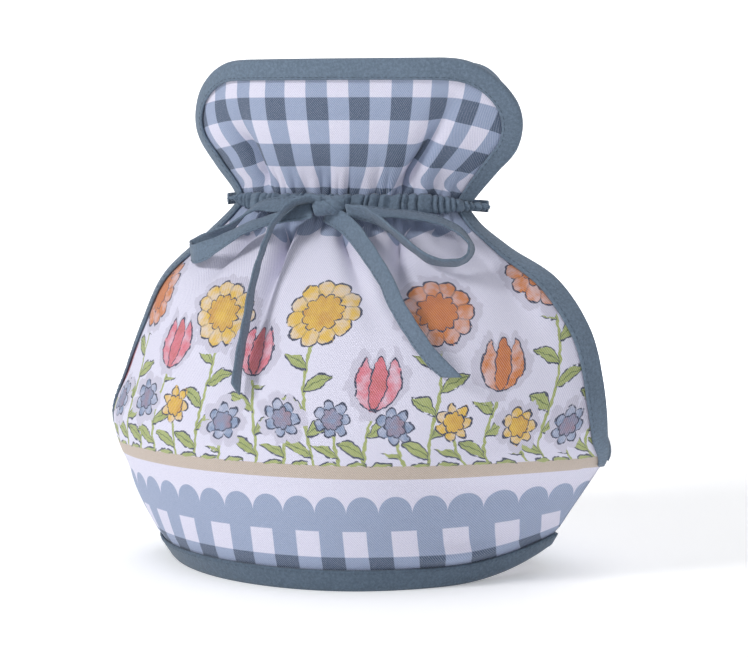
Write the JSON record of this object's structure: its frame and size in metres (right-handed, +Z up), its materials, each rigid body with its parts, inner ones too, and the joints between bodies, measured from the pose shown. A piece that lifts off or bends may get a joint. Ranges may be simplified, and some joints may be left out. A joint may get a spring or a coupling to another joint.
{
  "type": "tea cosy",
  "caption": "Gathered two-panel cloth tea cosy with a drawstring neck tied in a bow, an open ruffled collar, spout and handle slits and bound edges.",
  "frame": {"origin": "on the surface that the hem rests on, under the middle of the whole thing's box", "axes": "+Z up; the front with the bow faces -Y; the spout slit is at -X and the handle slit at +X"},
  "size_m": [0.2174, 0.1574, 0.2108],
  "materials": {
    "cloth": "printed twill, matte",
    "binding": "plain weave, matte"
  },
  "bodies": {
    "root": {"front_panel": "cloth", "back_panel": "cloth", "front_edge_binding": "binding", "back_edge_binding": "binding", "hem_binding": "binding", "front_casing": "binding", "back_casing": "binding", "bow_knot": "binding", "bow_left_loop": "binding", "bow_right_loop": "binding", "tie_left_tail": "binding", "tie_right_tail": "binding", "tie_left_side": "binding", "tie_right_side": "binding"}
  },
  "joints": []
}
